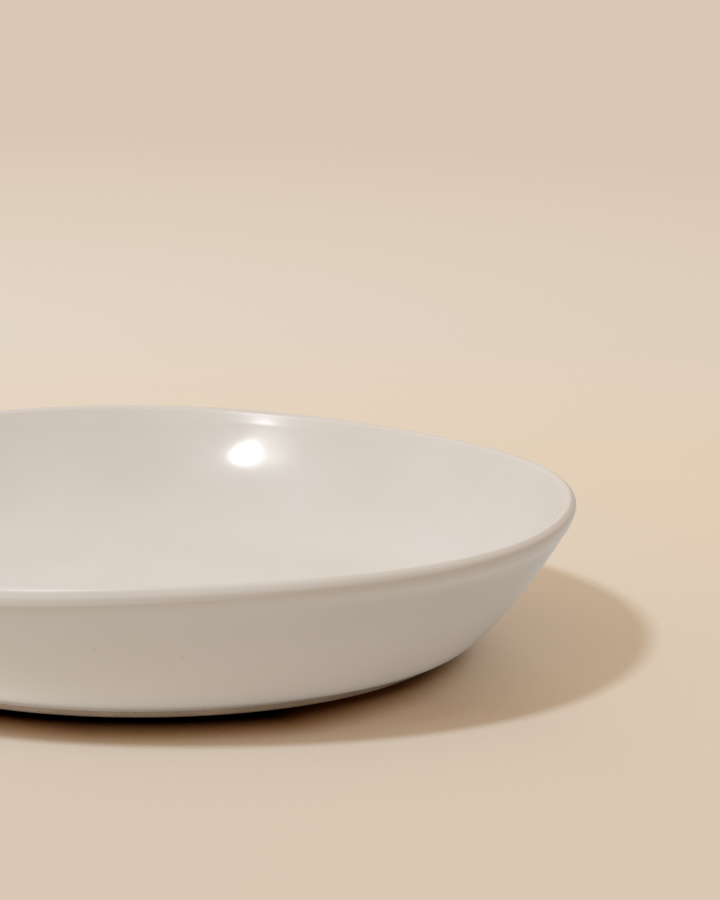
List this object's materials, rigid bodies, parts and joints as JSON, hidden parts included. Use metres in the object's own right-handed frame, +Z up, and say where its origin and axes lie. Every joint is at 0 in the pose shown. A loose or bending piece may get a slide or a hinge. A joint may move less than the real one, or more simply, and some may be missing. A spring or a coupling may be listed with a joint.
{
  "type": "pasta bowl",
  "caption": "Low, wide stoneware pasta bowl with a hand-shaped rounded lip, flat well, satin off-white glaze and a bare foot ring.",
  "frame": {"origin": "centre of the plane that the foot ring rests on, at the bottom centre of the bowl's box", "axes": "+Z up through the open mouth, +X to the viewer's right and +Y away from the viewer, as in the picture"},
  "size_m": [0.2261, 0.2305, 0.0433],
  "materials": {
    "bare_stoneware": "bare fired clay, matt and finely grained",
    "satin_glaze": "satin off-white glaze with a soft sheen and fine specks"
  },
  "bodies": {
    "root": {"stoneware_body": "bare_stoneware", "foot_ring": "bare_stoneware", "inside_glaze": "satin_glaze", "outside_glaze": "satin_glaze", "base_glaze": "satin_glaze"}
  },
  "joints": []
}
